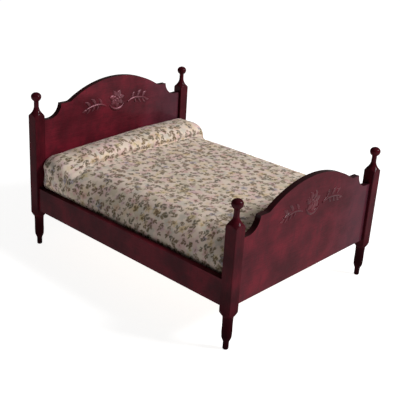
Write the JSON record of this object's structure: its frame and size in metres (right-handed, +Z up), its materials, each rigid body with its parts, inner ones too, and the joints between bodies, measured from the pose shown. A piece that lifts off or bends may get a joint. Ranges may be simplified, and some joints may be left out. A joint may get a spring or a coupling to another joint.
{
  "type": "miniature four poster bed",
  "caption": "Dolls house double bed with turned posts, arched carved boards, a slatted base and a loose mattress with a bolster under a floral cover.",
  "frame": {"origin": "on the floor under the middle of the bed", "axes": "+Z up, +Y from the foot towards the headboard, +X to the right as seen from the foot"},
  "size_m": [0.1332, 0.1704, 0.1033],
  "materials": {
    "mahogany_stain": "dark red mahogany stain under satin varnish",
    "bare_wood": "unfinished sanded lime wood",
    "grey_card": "matt mount card",
    "foam": "open cell foam and wadding",
    "printed_cotton": "plain weave cream cotton with a small scattered floral print"
  },
  "bodies": {
    "bed_frame": {"head_post_left": "mahogany_stain", "head_post_right": "mahogany_stain", "foot_post_left": "mahogany_stain", "foot_post_right": "mahogany_stain", "headboard_panel": "mahogany_stain", "footboard_panel": "mahogany_stain", "headboard_rosette": "mahogany_stain", "headboard_spray_left": "mahogany_stain", "headboard_spray_right": "mahogany_stain", "footboard_rosette": "mahogany_stain", "footboard_spray_left": "mahogany_stain", "footboard_spray_right": "mahogany_stain", "side_rail_left": "mahogany_stain", "side_rail_right": "mahogany_stain", "ledger_strip_left": "bare_wood", "ledger_strip_right": "bare_wood", "slat_1": "bare_wood", "slat_2": "bare_wood", "slat_3": "bare_wood", "slat_4": "bare_wood", "slat_5": "bare_wood", "slat_6": "bare_wood", "slat_7": "bare_wood", "rail_dowels": "bare_wood", "headboard_dowels": "bare_wood", "footboard_dowels": "bare_wood"},
    "mattress": {"mattress_base_card": "grey_card", "mattress_foam": "foam", "bolster_wadding": "foam", "mattress_cover": "printed_cotton"}
  },
  "joints": [
    {"name": "mattress_lift", "type": "slide", "parent": "bed_frame", "child": "mattress", "axis": [0, 0, 1], "range_m": [0, 0.08]}
  ]
}
